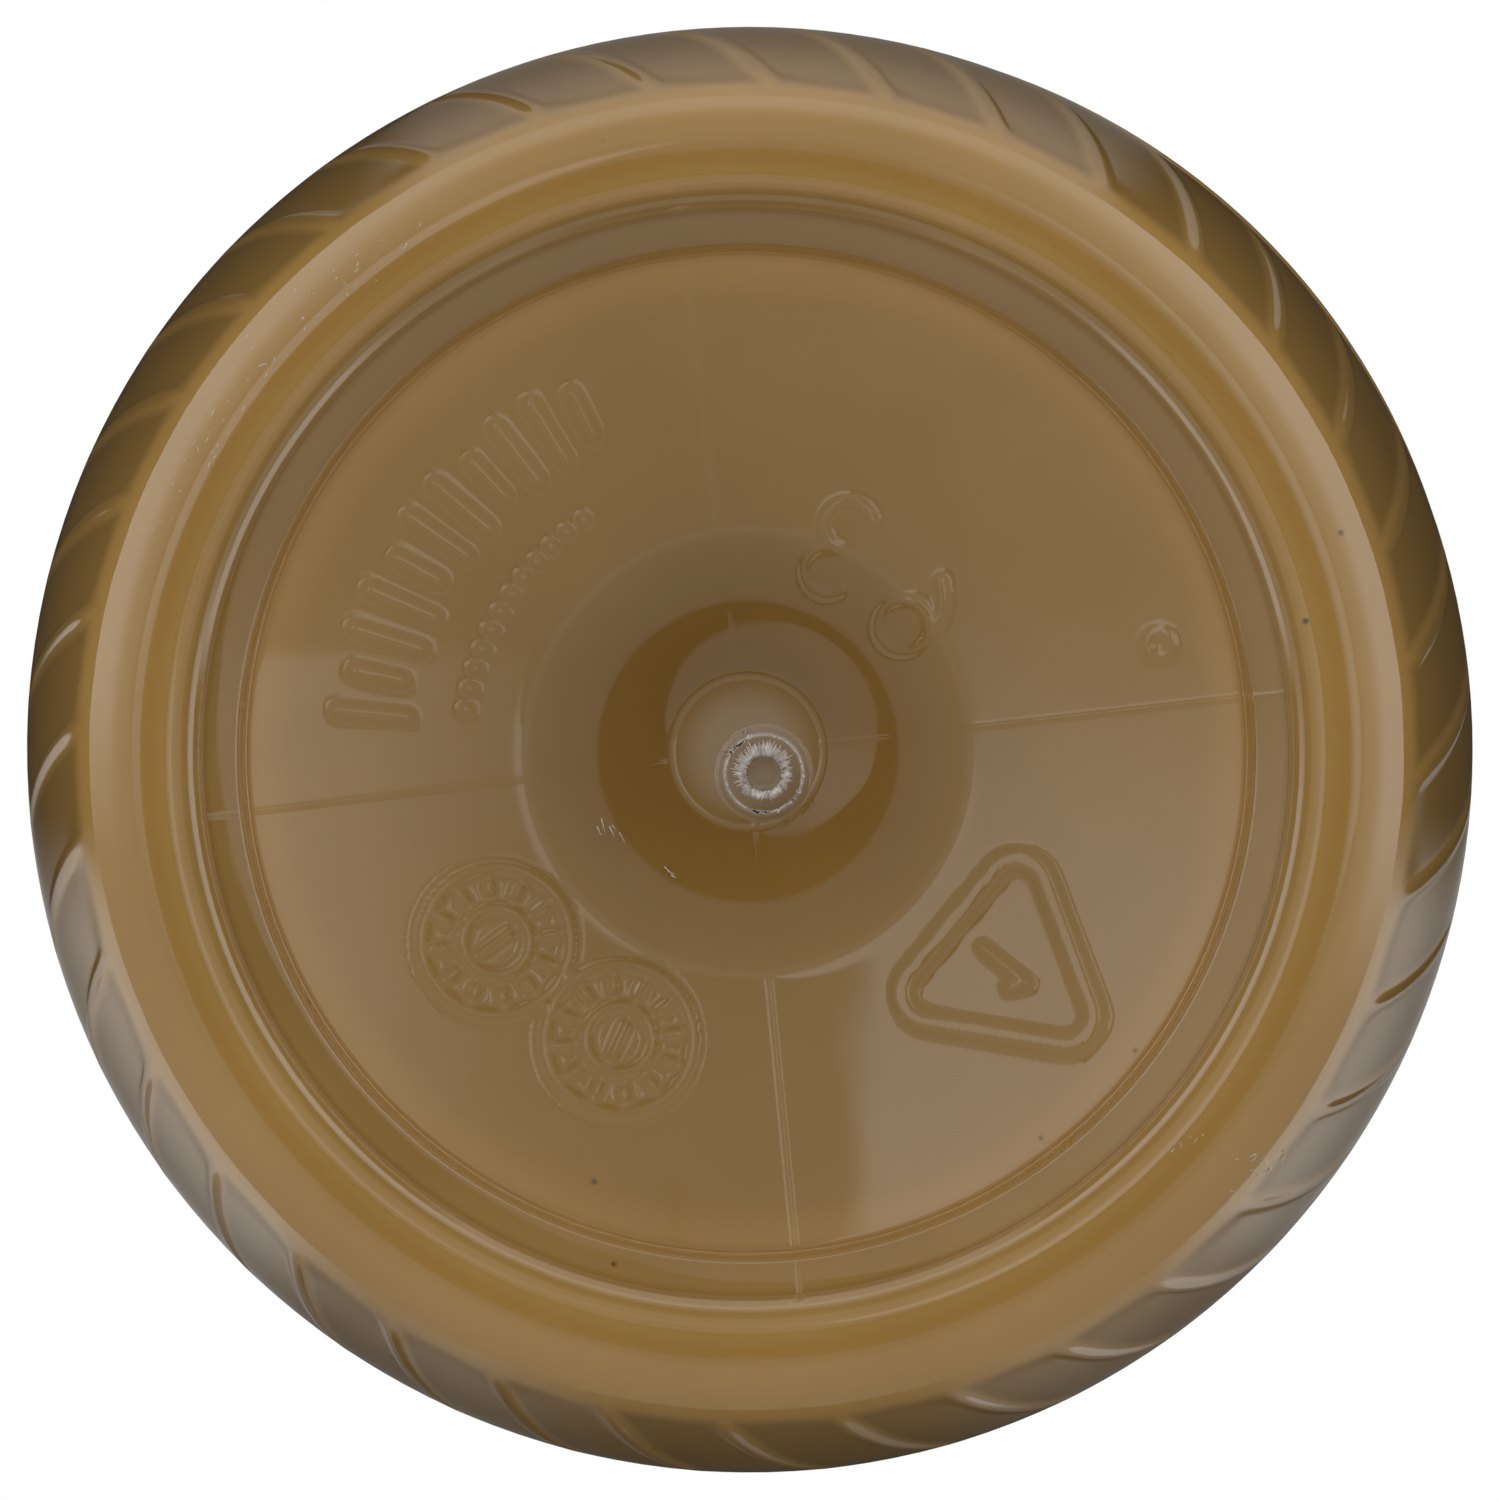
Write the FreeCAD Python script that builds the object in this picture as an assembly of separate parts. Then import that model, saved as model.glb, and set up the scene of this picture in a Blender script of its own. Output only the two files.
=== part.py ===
# Jar of nut butter: a blow-moulded clear PET jar with slanted flutes round its heel and its
# shoulder, the butter that fills it, and its screw cap.
# Millimetres, +Z up. The origin is the centre of the base, on the plane that the jar stands on.
import FreeCAD, Part
import math
import os

# Overall sizes
body_diameter = 80.0
jar_height = 103.0  # standing plane to rim

# Walls
body_wall = 0.7  # under the flutes' floors and at the label panel
base_wall = 1.2
neck_wall = 1.6

# Heel and shoulder: a sloping flank between two rounded corners, the same at both ends of the body
flank_slope = 54.0  # degrees above the horizontal
flank_rise = 6.1  # from the line of the flat it leaves to the line of the body wall
flank_radius = 15.0  # flank to body wall
heel_radius = 4.4  # standing ring to flank

# Standing ring and recessed base
ring_width = 4.6  # between the lines of its two sides, at the standing plane
ring_inner_slope = 45.0
ring_inner_radius = 2.0
ring_inner_rise = 0.9
insert_step = 0.2  # ledge where the mould's base insert meets its body halves
recess_wall_run = 1.9
recess_wall_rise = 1.2
recess_wall_round = 0.3
panel_step_run = 0.4  # steep edge between the recess wall and the panel
panel_step_rise = 0.8
panel_step_round = 0.4

# Base panel, bowed a little towards the inside
panel_outer_slope = 4.0
panel_inner_slope = 2.0
panel_bow_radius = 19.9  # where the lines of its two slopes meet
panel_bow = 355.0  # radius of the bow between them

# Push-up dome, above the panel's inner edge
dome_foot_radius = 12.2
dome_waist_radius = 8.3
dome_top_radius = 4.2
dome_waist_rise = 1.2
dome_top_rise = 3.1
dome_foot_round = 5.0
dome_waist_round = 3.0
dome_top_round = 0.8

# Injection gate, moulded a little off the axis
gate_radius = 2.2
gate_flare = 0.3
gate_drop = 0.9
gate_crater_radius = 1.0
gate_crater_depth = 0.8
gate_offset_x = 0.9
gate_offset_y = 1.2
gate_root = 0.4  # how far it runs into the wall above it

# Flutes
flute_count = 36
flute_depth = 0.4
rib_width = 0.8
flute_slant = 36.0  # degrees from the vertical
flute_start = 2.3  # height of its lower corners
flute_height = 6.6
flute_end_bulge = 0.6  # crown of its two ends

# Label panel
label_recess = 0.5
label_margin = 13.5  # from the standing plane, and from the foot of the neck
label_step = 1.0
label_round = 1.0

# Shoulder and neck
shoulder_ledge = 2.07  # from the line of the flank's upper edge to the neck
shoulder_ledge_slope = 20.0
neck_height = 16.0
neck_foot_round = 0.8
rim_round = 0.5
bead_height = 2.0
bead_depth = 2.2
bead_lift = 1.6  # above the foot of the neck
bead_round = 0.6

# Cap
thread_room = 1.9  # for the thread, between the neck and the skirt
skirt_wall = 1.4
cap_top_wall = 1.7
cap_bead_gap = 0.7
cap_round = 1.3
cap_panel_recess = 0.4
cap_rim_width = 4.0
cap_panel_slope_run = 0.6
cap_lip = 1.6  # smooth band below the grip grooves
groove_count = 90
groove_radius = 0.6
groove_depth = 0.35

# Filling
headspace = 9.0  # rim to the butter's surface

# Worked out from the above
body_radius = body_diameter / 2
neck_foot = jar_height - neck_height
flank_run = flank_rise / math.tan(math.radians(flank_slope))
ring_outer = body_radius - flank_run
ring_inner = ring_outer - ring_width
neck_radius = ring_outer - shoulder_ledge
step_outer = ring_inner - ring_inner_rise / math.tan(math.radians(ring_inner_slope))
step_inner = step_outer - insert_step
wall_inner = step_inner - recess_wall_run
wall_rise = ring_inner_rise + recess_wall_rise
panel_radius = wall_inner - panel_step_run
panel_edge_rise = wall_rise + panel_step_rise
bow_fall = (panel_radius - panel_bow_radius) * math.tan(math.radians(panel_outer_slope))
bow_rise = panel_edge_rise + bow_fall
foot_fall = (panel_bow_radius - dome_foot_radius) * math.tan(math.radians(panel_inner_slope))
dome_foot = bow_rise + foot_fall
dome_waist = dome_foot + dome_waist_rise
dome_top = dome_foot + dome_top_rise
ribbed_wall = body_wall + flute_depth
shoulder_edge = neck_foot - shoulder_ledge * math.tan(math.radians(shoulder_ledge_slope))
shoulder_corner = shoulder_edge - flank_rise
label_radius = body_radius - label_recess
label_foot = label_margin
label_head = neck_foot - label_margin
butter_level = jar_height - headspace
bead_foot = neck_foot + bead_lift
cap_bore = neck_radius + thread_room
cap_radius = cap_bore + skirt_wall
cap_foot = bead_foot + bead_height + cap_bead_gap
cap_top = jar_height + cap_top_wall

AXIS = FreeCAD.Vector(0, 0, 1)
CENTRE = FreeCAD.Vector(0, 0, 0)
CLEAR = 1.0  # how far a cutting tool stands out past what it cuts
FULL = 0.98  # the most of a stretch that the roundings at its two ends may take


def place(corner):
    """A corner of an outline, as a point of the XZ plane."""
    return FreeCAD.Vector(corner[0], 0, corner[1])


def reaches(corners):
    """How far each corner's rounding runs along its stretches: less than asked where they are short."""
    asked = [0.0]
    for before, corner, after in zip(corners, corners[1:], corners[2:]):
        turn = math.pi - (place(before) - place(corner)).getAngle(place(after) - place(corner))
        asked.append(corner[2] * math.tan(turn / 2))
    asked.append(0.0)
    shares = [1.0]
    for start, end, first, second in zip(corners, corners[1:], asked, asked[1:]):
        room = FULL * (place(end) - place(start)).Length
        shares.append(room / max(first + second, room))
    shares.append(1.0)
    return [reach * min(pair) for reach, pair in zip(asked, zip(shares, shares[1:]))]


def rounded(corners):
    """The edges from corner to corner. A corner is radius, height and rounding."""
    edges = []
    start = place(corners[0])
    fitted = reaches(corners)
    for before, corner, after, reach in zip(corners, corners[1:], corners[2:], fitted[1:]):
        here = place(corner)
        back = (place(before) - here).normalize()
        onward = (place(after) - here).normalize()
        entry = here + back * reach
        edges.append(Part.LineSegment(start, entry).toShape())
        start = here + onward * reach
        if reach > 0:
            half_turn = (math.pi - back.getAngle(onward)) / 2
            depth = reach * math.tan(half_turn / 2)
            middle = here + (back + onward).normalize() * depth
            edges.append(Part.Arc(entry, middle, start).toShape())
    edges.append(Part.LineSegment(start, place(corners[-1])).toShape())
    return edges


def turned(corners):
    """The solid turned from an outline that starts and ends on the axis."""
    edges = rounded(corners)
    edges.append(Part.LineSegment(place(corners[-1]), place(corners[0])).toShape())
    face = Part.Face(Part.Wire(Part.__sortEdges__(edges)))
    return face.revolve(CENTRE, AXIS, 360)


def ring(corners):
    """The solid ring turned from a closed outline that keeps off the axis."""
    edges = rounded(corners + corners[:1])
    return Part.Face(Part.Wire(edges)).revolve(CENTRE, AXIS, 360)


def jar_outline():
    """The jar's outside from the middle of the base to the rim. A corner is radius, height, rounding
    and the wall behind the stretch that starts there."""
    return [
        (0, dome_top, 0, base_wall),
        (dome_top_radius, dome_top, dome_top_round, base_wall),
        (dome_waist_radius, dome_waist, dome_waist_round, base_wall),
        (dome_foot_radius, dome_foot, dome_foot_round, base_wall),
        (panel_bow_radius, bow_rise, panel_bow, base_wall),
        (panel_radius, panel_edge_rise, panel_step_round, base_wall),
        (wall_inner, wall_rise, recess_wall_round, base_wall),
        (step_inner, ring_inner_rise, 0, base_wall),
        (step_outer, ring_inner_rise, 0, base_wall),
        (ring_inner, 0, ring_inner_radius, base_wall),
        (ring_outer, 0, heel_radius, ribbed_wall),
        (body_radius, flank_rise, flank_radius, ribbed_wall),
        (body_radius, label_foot, label_round, body_wall),
        (label_radius, label_foot + label_step, label_round, body_wall),
        (label_radius, label_head - label_step, label_round, body_wall),
        (body_radius, label_head, label_round, ribbed_wall),
        (body_radius, shoulder_corner, flank_radius, ribbed_wall),
        (ring_outer, shoulder_edge, heel_radius, ribbed_wall),
        (neck_radius, neck_foot, neck_foot_round, neck_wall),
        (neck_radius, jar_height, rim_round, neck_wall),
    ]


def inset(outline):
    """The outline of the inside: each stretch moved in by its own wall, with roundings to suit."""
    stretches = []
    for (r0, z0, _, wall), (r1, z1, _, _) in zip(outline, outline[1:]):
        length = math.hypot(r1 - r0, z1 - z0)
        along = ((r1 - r0) / length, (z1 - z0) / length)
        stretches.append((r0 - along[1] * wall, z0 + along[0] * wall, along, wall))
    inside = [(0, stretches[0][1], 0)]
    for corner, before, after in zip(outline[1:], stretches, stretches[1:]):
        turn = before[2][0] * after[2][1] - before[2][1] * after[2][0]
        across = (after[0] - before[0]) * after[2][1] - (after[1] - before[1]) * after[2][0]
        reach = across / turn
        wall = (before[3] + after[3]) / 2
        rounding = corner[2] - math.copysign(wall, turn)
        inside.append(
            (before[0] + before[2][0] * reach, before[1] + before[2][1] * reach, max(rounding, 0))
        )
    inside.append((stretches[-1][0], outline[-1][1], 0))
    return inside


def without_steps(outline):
    """The outline with the base's two small steps left out, as the wall's inside doesn't show them."""
    steps = ((step_inner, ring_inner_rise), (wall_inner, wall_rise))
    return [c for c in outline if (c[0], c[1]) not in steps]


def around(shape, count):
    """Copies of a shape, spaced evenly round the axis."""
    copies = []
    for index in range(count):
        copy = shape.copy()
        copy.rotate(CENTRE, AXIS, 360 * index / count)
        copies.append(copy)
    return copies


def flute_slabs(low, lean):
    """One upright slab for each flute, crossing the wall, with its top end moved round by lean."""
    pitch = 2 * math.pi * body_radius / flute_count
    half = (pitch - rib_width) / 2
    high = low + flute_height
    inner = ring_outer - ring_width / 2

    def at(y, z):
        return FreeCAD.Vector(inner, y, z)

    low_left = at(-lean / 2 - half, low)
    low_right = at(-lean / 2 + half, low)
    high_right = at(lean / 2 + half, high)
    high_left = at(lean / 2 - half, high)
    low_end = Part.Arc(low_left, at(-lean / 2, low - flute_end_bulge), low_right)
    high_end = Part.Arc(high_right, at(lean / 2, high + flute_end_bulge), high_left)
    sides = [
        low_end,
        Part.LineSegment(low_right, high_right),
        high_end,
        Part.LineSegment(high_left, low_left),
    ]
    outline = Part.Wire([side.toShape() for side in sides])
    slab = Part.Face(outline).extrude(FreeCAD.Vector(body_radius - inner + CLEAR, 0, 0))
    return around(slab, flute_count)


def make_jar():
    outline = jar_outline()
    floor_outline = [(r, z, rounding, flute_depth) for r, z, rounding, _ in without_steps(outline)]
    flute_floor = turned(inset(floor_outline) + [(0, jar_height, 0)])
    outside = turned([c[:3] for c in outline] + [(0, jar_height, 0)])
    lean = flute_height * math.tan(math.radians(flute_slant))
    heel_slabs = flute_slabs(flute_start, -lean)
    shoulder_slabs = flute_slabs(shoulder_edge - flute_start - flute_height, lean)
    flutes = Part.makeCompound(heel_slabs + shoulder_slabs).cut(flute_floor)
    bead = ring(
        [
            (neck_radius - neck_wall / 2, bead_foot, 0),
            (neck_radius + bead_depth, bead_foot, bead_round),
            (neck_radius + bead_depth, bead_foot + bead_height, bead_round),
            (neck_radius - neck_wall / 2, bead_foot + bead_height, 0),
        ]
    )
    gate_at = FreeCAD.Vector(gate_offset_x, gate_offset_y, dome_top - gate_drop)
    gate = Part.makeCone(gate_radius, gate_radius + gate_flare, gate_drop + gate_root, gate_at)
    crater = Part.makeCylinder(gate_crater_radius, gate_crater_depth, gate_at)
    return outside.fuse([bead, gate]).cut([flutes, crater, make_cavity(jar_height + CLEAR)])


def make_cavity(top):
    """The inside of the jar up to a height."""
    inside = inset(without_steps(jar_outline()))
    bore = inside[-1][0]
    return turned(inside[:-1] + [(bore, top, 0), (0, top, 0)])


def make_cap():
    body = turned(
        [
            (0, jar_height, 0),
            (cap_bore, jar_height, 0),
            (cap_bore, cap_foot, 0),
            (cap_radius, cap_foot, 0),
            (cap_radius, cap_top, cap_round),
            (cap_radius - cap_rim_width, cap_top, 0),
            (cap_radius - cap_rim_width - cap_panel_slope_run, cap_top - cap_panel_recess, 0),
            (0, cap_top - cap_panel_recess, 0),
        ]
    )
    groove_foot = cap_foot + cap_lip
    groove = Part.makeCylinder(
        groove_radius,
        cap_top - groove_foot + CLEAR,
        FreeCAD.Vector(cap_radius + groove_radius - groove_depth, 0, groove_foot),
    )
    return body.cut(Part.makeCompound(around(groove, groove_count)))


def main():
    os.makedirs("parts", exist_ok=True)
    make_jar().exportStep("parts/jar.step")
    make_cavity(butter_level).exportStep("parts/butter.step")
    make_cap().exportStep("parts/cap.step")


main()
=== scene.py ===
# The looks of a clear jar of nut butter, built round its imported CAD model.
# Sizes are named in millimetres, as the jar's own are, and become metres as each mesh is made.
import math
import bpy
import numpy as np
from mathutils import Matrix, Vector


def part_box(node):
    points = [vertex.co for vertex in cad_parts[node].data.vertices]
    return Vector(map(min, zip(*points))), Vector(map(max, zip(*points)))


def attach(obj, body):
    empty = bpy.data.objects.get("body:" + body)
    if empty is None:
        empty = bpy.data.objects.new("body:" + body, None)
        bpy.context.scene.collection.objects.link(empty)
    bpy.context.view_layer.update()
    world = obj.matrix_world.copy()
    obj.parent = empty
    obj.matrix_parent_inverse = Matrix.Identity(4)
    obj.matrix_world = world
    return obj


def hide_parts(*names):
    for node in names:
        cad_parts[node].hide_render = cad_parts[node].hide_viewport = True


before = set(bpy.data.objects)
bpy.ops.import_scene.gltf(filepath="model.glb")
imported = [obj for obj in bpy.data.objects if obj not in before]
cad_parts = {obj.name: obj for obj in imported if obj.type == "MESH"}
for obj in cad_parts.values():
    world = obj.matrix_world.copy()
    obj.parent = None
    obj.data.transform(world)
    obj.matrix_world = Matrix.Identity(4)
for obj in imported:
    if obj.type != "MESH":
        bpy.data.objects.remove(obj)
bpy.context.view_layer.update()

MM = 0.001
TURN = 2 * math.pi

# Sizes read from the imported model
jar_low, jar_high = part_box("jar")
cap_low, cap_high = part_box("cap")
_, butter_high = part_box("butter")
body_radius = (jar_high.x - jar_low.x) / 2 / MM
jar_height = jar_high.z / MM
butter_level = butter_high.z / MM
cap_radius = (cap_high.x - cap_low.x) / 2 / MM
cap_foot = cap_low.z / MM
cap_top = cap_high.z / MM

# Walls
body_wall = 0.7
base_wall = 1.2
neck_wall = 1.6
wet_reach = 0.25  # how far the butter's surface reaches into the wall, so that no air shows

# Heel, standing ring and recessed base
flank_slope = math.radians(54)
flank_rise = 6.1
flank_radius = 15.0
flank_round_reach = 4.9  # past the flank's own height
heel_radius = 4.4
ring_width = 4.6
ring_inner_slope = math.radians(45)
ring_inner_radius = 2.0
ring_inner_rise = 0.9
insert_step = 0.2
insert_round = 0.08
recess_wall_run = 1.9
recess_wall_rise = 1.2
recess_wall_round = 0.3
panel_step_run = 0.4
panel_step_rise = 0.8
panel_step_round = 0.4

# Base panel, bowed a little towards the inside
panel_outer_slope = math.radians(4)
panel_inner_slope = math.radians(2)
panel_bow_radius = 19.9
panel_bow = 355.0

# Push-up dome
dome_foot_radius = 12.2
dome_waist_radius = 8.3
dome_top_radius = 4.2
dome_waist_rise = 1.2
dome_top_rise = 3.1
dome_foot_round = 5.0
dome_waist_round = 3.0
dome_top_round = 0.8

# Gate
gate_centre = (0.9, 1.2)
gate_radius = 2.2
gate_skirt = 0.35
gate_drop = 0.9
gate_crater_radius = 1.0
gate_crater_depth = 0.8
gate_reach = 4.6  # past its furthest edge from the axis

# Flutes
flute_count = 36
flute_depth = 0.4
flute_phase = math.radians(3.8)
rib_width = 0.8
flute_slant = math.radians(36)
flute_start = 2.3
flute_height = 6.6
flute_end_bulge = 0.6
flute_floor = 0.24  # the depth at their deeper end
flute_run = 8.4  # from that end to where they fade out
flute_edge = 0.55
flute_end_edge = 1.5

# Studio
camera_distance = 1500
camera_lean = math.radians(1.2)
frame_share = 0.964  # of the frame's width, taken by the jar
lamp_distance = 1200
floor_clear = 120
floor_reach = 520
reflector_drop = 38
reflector_hole = 46
reflector_rim = 5
reflector_reach = 280

# Label panel, shoulder and neck
label_recess = 0.5
label_margin = 13.5
label_step = 1.0
label_round = 1.0
shoulder_ledge = 2.07
shoulder_ledge_slope = math.radians(20)
neck_height = 16.0
neck_foot_round = 0.8
rim_round = 0.5
bead_lift = 1.6
bead_height = 2.0
bead_depth = 2.2
bead_round = 0.6

# Screw thread, hidden by the cap
thread_lift = 5.2  # above the foot of the neck
thread_pitch = 4.2
thread_turns = 1.4
thread_height = 1.2
thread_half_width = 1.0

# Cap
skirt_wall = 1.4
cap_round = 1.3
cap_panel_recess = 0.4
cap_rim_width = 4.0
cap_panel_slope_run = 0.6
cap_lip = 1.6
groove_count = 90
groove_depth = 0.35
groove_columns = 8

# Butter's surface
swirl_turns = 5
swirl_height = 0.5
swirl_dip = 1.2
swirl_rings = 40

# Worked out from the above
neck_foot = jar_height - neck_height
flank_run = flank_rise / math.tan(flank_slope)
ring_outer = body_radius - flank_run
ring_inner = ring_outer - ring_width
neck_radius = ring_outer - shoulder_ledge
step_outer = ring_inner - ring_inner_rise / math.tan(ring_inner_slope)
step_inner = step_outer - insert_step
wall_inner = step_inner - recess_wall_run
wall_rise = ring_inner_rise + recess_wall_rise
panel_radius = wall_inner - panel_step_run
panel_edge_rise = wall_rise + panel_step_rise
bow_rise = panel_edge_rise + (panel_radius - panel_bow_radius) * math.tan(panel_outer_slope)
dome_foot = bow_rise + (panel_bow_radius - dome_foot_radius) * math.tan(panel_inner_slope)
dome_waist = dome_foot + dome_waist_rise
dome_top = dome_foot + dome_top_rise
ribbed_wall = body_wall + flute_depth
shoulder_edge = neck_foot - shoulder_ledge * math.tan(shoulder_ledge_slope)
shoulder_corner = shoulder_edge - flank_rise
label_radius = body_radius - label_recess
label_head = neck_foot - label_margin
bead_foot = neck_foot + bead_lift
bead_head = bead_foot + bead_height
bead_radius = neck_radius + bead_depth


# ---------------------------------------------------------------- outlines

def jar_corners():
    """The jar's outside from the middle of the base to the rim. A corner is radius, height,
    rounding and the wall behind the stretch that starts there."""
    return [
        (0, dome_top, 0, base_wall),
        (dome_top_radius, dome_top, dome_top_round, base_wall),
        (dome_waist_radius, dome_waist, dome_waist_round, base_wall),
        (dome_foot_radius, dome_foot, dome_foot_round, base_wall),
        (panel_bow_radius, bow_rise, panel_bow, base_wall),
        (panel_radius, panel_edge_rise, panel_step_round, base_wall),
        (wall_inner, wall_rise, recess_wall_round, base_wall),
        (step_inner, ring_inner_rise, insert_round, base_wall),
        (step_outer, ring_inner_rise, insert_round, base_wall),
        (ring_inner, 0, ring_inner_radius, base_wall),
        (ring_outer, 0, heel_radius, ribbed_wall),
        (body_radius, flank_rise, flank_radius, ribbed_wall),
        (body_radius, label_margin, label_round, body_wall),
        (label_radius, label_margin + label_step, label_round, body_wall),
        (label_radius, label_head - label_step, label_round, body_wall),
        (body_radius, label_head, label_round, ribbed_wall),
        (body_radius, shoulder_corner, flank_radius, ribbed_wall),
        (ring_outer, shoulder_edge, heel_radius, ribbed_wall),
        (neck_radius, neck_foot, neck_foot_round, neck_wall),
        (neck_radius, bead_foot, 0, neck_wall),
        (bead_radius, bead_foot, bead_round, neck_wall),
        (bead_radius, bead_head, bead_round, neck_wall),
        (neck_radius, bead_head, 0, neck_wall),
        (neck_radius, jar_height, rim_round, neck_wall),
    ]


def inside_corners(less=0.0):
    """The outline of the inside: each stretch moved in by its own wall, or by that much less. The
    base's small steps and the neck's bead don't show inside."""
    outer_only = {
        (step_inner, ring_inner_rise),
        (wall_inner, wall_rise),
        (neck_radius, bead_foot),
        (bead_radius, bead_foot),
        (bead_radius, bead_head),
        (neck_radius, bead_head),
    }
    corners = [c for c in jar_corners() if (c[0], c[1]) not in outer_only]
    stretches = []
    for (r0, z0, _, wall), (r1, z1, _, _) in zip(corners, corners[1:]):
        length = math.hypot(r1 - r0, z1 - z0)
        along_r, along_z = (r1 - r0) / length, (z1 - z0) / length
        depth = wall - less
        stretches.append((r0 - along_z * depth, z0 + along_r * depth, along_r, along_z, depth))
    inside = [(0, stretches[0][1], 0)]
    for corner, a, b in zip(corners[1:], stretches, stretches[1:]):
        turn = a[2] * b[3] - a[3] * b[2]
        reach = ((b[0] - a[0]) * b[3] - (b[1] - a[1]) * b[2]) / turn
        rounding = corner[2] - math.copysign((a[4] + b[4]) / 2, turn)
        inside.append((a[0] + a[2] * reach, a[1] + a[3] * reach, max(rounding, 0)))
    inside.append((stretches[-1][0], corners[-1][1], 0))
    return inside


class Outline:
    """A turned surface's outline with rounded corners, read by the distance along it."""

    grain = 0.04

    def __init__(self, corners):
        points = [np.array(corners[0][:2], float)]
        for before, corner, after in zip(corners, corners[1:], corners[2:]):
            here = np.array(corner[:2], float)
            back = np.array(before[:2]) - here
            onward = np.array(after[:2]) - here
            back /= np.linalg.norm(back)
            onward /= np.linalg.norm(onward)
            half_turn = (math.pi - math.acos(np.clip(back @ onward, -1, 1))) / 2
            reach = corner[2] * math.tan(half_turn)
            self._line(points, here + back * reach)
            if corner[2] > 0:
                middle = here + (back + onward) / np.linalg.norm(back + onward) * (
                    corner[2] / math.cos(half_turn)
                )
                self._arc(points, middle, here + back * reach, here + onward * reach)
        self._line(points, np.array(corners[-1][:2], float))
        self.points = np.array(points)
        steps = np.diff(self.points, axis=0)
        lengths = np.linalg.norm(steps, axis=1)
        self.s = np.concatenate(([0], np.cumsum(lengths)))
        way = steps / lengths[:, None]
        normals = np.column_stack((way[:, 1], -way[:, 0]))
        self.normals = np.vstack((normals[:1], (normals[1:] + normals[:-1]) / 2, normals[-1:]))
        self.length = self.s[-1]

    def _line(self, points, end):
        start = points[-1]
        count = max(1, int(np.linalg.norm(end - start) / self.grain))
        if np.linalg.norm(end - start) > 1e-9:
            points.extend(start + (end - start) * (i + 1) / count for i in range(count))

    def _arc(self, points, middle, start, end):
        first = math.atan2(*(start - middle)[::-1])
        sweep = (math.atan2(*(end - middle)[::-1]) - first + math.pi) % TURN - math.pi
        radius = np.linalg.norm(start - middle)
        count = max(4, int(abs(sweep) * radius / self.grain))
        for i in range(count):
            angle = first + sweep * (i + 1) / count
            points.append(middle + radius * np.array((math.cos(angle), math.sin(angle))))

    def at(self, s):
        """Radius, height and outward normal at a distance along the outline."""
        values = [np.interp(s, self.s, column) for column in (*self.points.T, *self.normals.T)]
        size = math.hypot(values[2], values[3])
        return values[0], values[1], values[2] / size, values[3] / size

    def where_radius(self, radius, after=0.0):
        """The first distance past `after` at which the outline reaches this radius."""
        return self._where(self.points[:, 0] - radius, after)

    def where_height(self, height, after=0.0):
        return self._where(self.points[:, 1] - height, after)

    def _where(self, gaps, after):
        crossed = (gaps[1:] * gaps[:-1] <= 0) & (self.s[1:] > after)
        i = int(np.argmax(crossed))
        share = gaps[i] / (gaps[i] - gaps[i + 1]) if gaps[i] != gaps[i + 1] else 0
        return max(after, self.s[i] + share * (self.s[i + 1] - self.s[i]))


# ---------------------------------------------------------------- turned meshes

def smooth(value):
    """0 below 0, 1 above 1, and an even rise between."""
    t = np.clip(value, 0, 1)
    return t * t * (3 - 2 * t)


def stations(start, end, spacing):
    """Evenly spaced distances from start up to, but not with, end."""
    count = max(1, int(round((end - start) / spacing)))
    return [start + (end - start) * i / count for i in range(count)]


class Skin:
    """A closed mesh built of rings round the axis, from one pole to the other."""

    def __init__(self):
        self.points = []
        self.faces = []
        self.total = 0
        self.last = None

    def pole(self, z):
        index = self.total
        self.points.append(np.array([[0.0, 0.0, z]]))
        self.total += 1
        if self.last is not None:
            first, angles = self.last
            count = len(angles)
            self.faces.extend((first + i, first + (i + 1) % count, index) for i in range(count))
        self.last = (index, None)

    def ring(self, angles, points):
        first = self.total
        self.points.append(points)
        self.total += len(points)
        if self.last is not None:
            before, old = self.last
            count = len(angles)
            if old is None:
                self.faces.extend(
                    (before, first + (i + 1) % count, first + i) for i in range(count)
                )
            elif len(old) == count:
                self.faces.extend(
                    (before + i, before + (i + 1) % count, first + (i + 1) % count, first + i)
                    for i in range(count)
                )
            else:
                self._bridge(before, old, first, angles)
        self.last = (first, angles)

    def _bridge(self, first_a, angles_a, first_b, angles_b):
        """Triangles between two rings that have different numbers of points."""
        order_a, order_b = np.argsort(angles_a % TURN), np.argsort(angles_b % TURN)
        around_a, around_b = (angles_a % TURN)[order_a], (angles_b % TURN)[order_b]
        count_a, count_b = len(order_a), len(order_b)
        i = j = 0
        while i < count_a or j < count_b:
            next_a = around_a[(i + 1) % count_a] + TURN * ((i + 1) // count_a)
            next_b = around_b[(j + 1) % count_b] + TURN * ((j + 1) // count_b)
            a, b = first_a + order_a[i % count_a], first_b + order_b[j % count_b]
            if j >= count_b or (i < count_a and next_a <= next_b):
                i += 1
                self.faces.append((a, first_a + order_a[i % count_a], b))
            else:
                j += 1
                self.faces.append((a, first_b + order_b[j % count_b], b))

    def run(self, outline, distances, columns, height=None):
        """Rings at these distances along an outline. columns gives a ring's angles from its radius
        and height, and height how far each of its points stands out from the outline."""
        for s in distances:
            r, z, out_r, out_z = outline.at(s)
            angles = columns(r, z)
            rise = 0.0 if height is None else height(angles, r, z)
            reach = r + out_r * rise
            level = np.full(len(angles), z) + out_z * rise
            points = np.column_stack((reach * np.cos(angles), reach * np.sin(angles), level))
            self.ring(angles, points)

    def make(self, name):
        return make_mesh(name, np.vstack(self.points), self.faces)


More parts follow.
